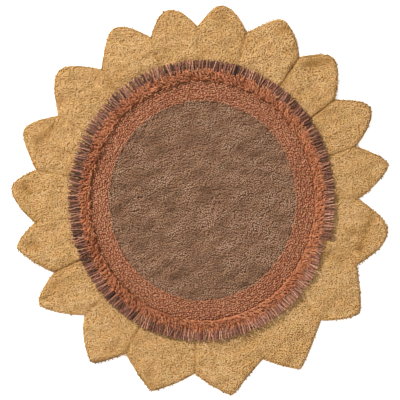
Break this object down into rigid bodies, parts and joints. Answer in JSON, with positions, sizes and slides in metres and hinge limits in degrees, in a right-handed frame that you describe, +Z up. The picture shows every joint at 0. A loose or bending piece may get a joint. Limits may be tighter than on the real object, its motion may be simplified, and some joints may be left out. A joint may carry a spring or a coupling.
{
  "type": "sunflower-shaped rug",
  "caption": "Flat tufted rug cut as a sunflower, with yellow pile petals, a brown low-pile centre, looped and shag rings and a round fringe.",
  "frame": {"origin": "on the underside, below the middle of the round brown centre", "axes": "+Z up out of the pile, +Y along the flower's longer way, +X to the right when the rug is seen from above"},
  "size_m": [1.2552, 1.2956, 0.0224],
  "materials": {
    "petal_yarn": "soft cut pile",
    "centre_yarn": "brushed low pile",
    "loop_yarn": "small loops in rows",
    "shag_yarn": "shaggy curled locks",
    "fringe_yarn": "twisted yarn strands",
    "canvas": "plain woven backing"
  },
  "bodies": {
    "root": {"petal_mat": "petal_yarn", "centre_disc": "centre_yarn", "loop_ring": "loop_yarn", "shag_ring": "shag_yarn", "fringe": "fringe_yarn"}
  },
  "joints": []
}
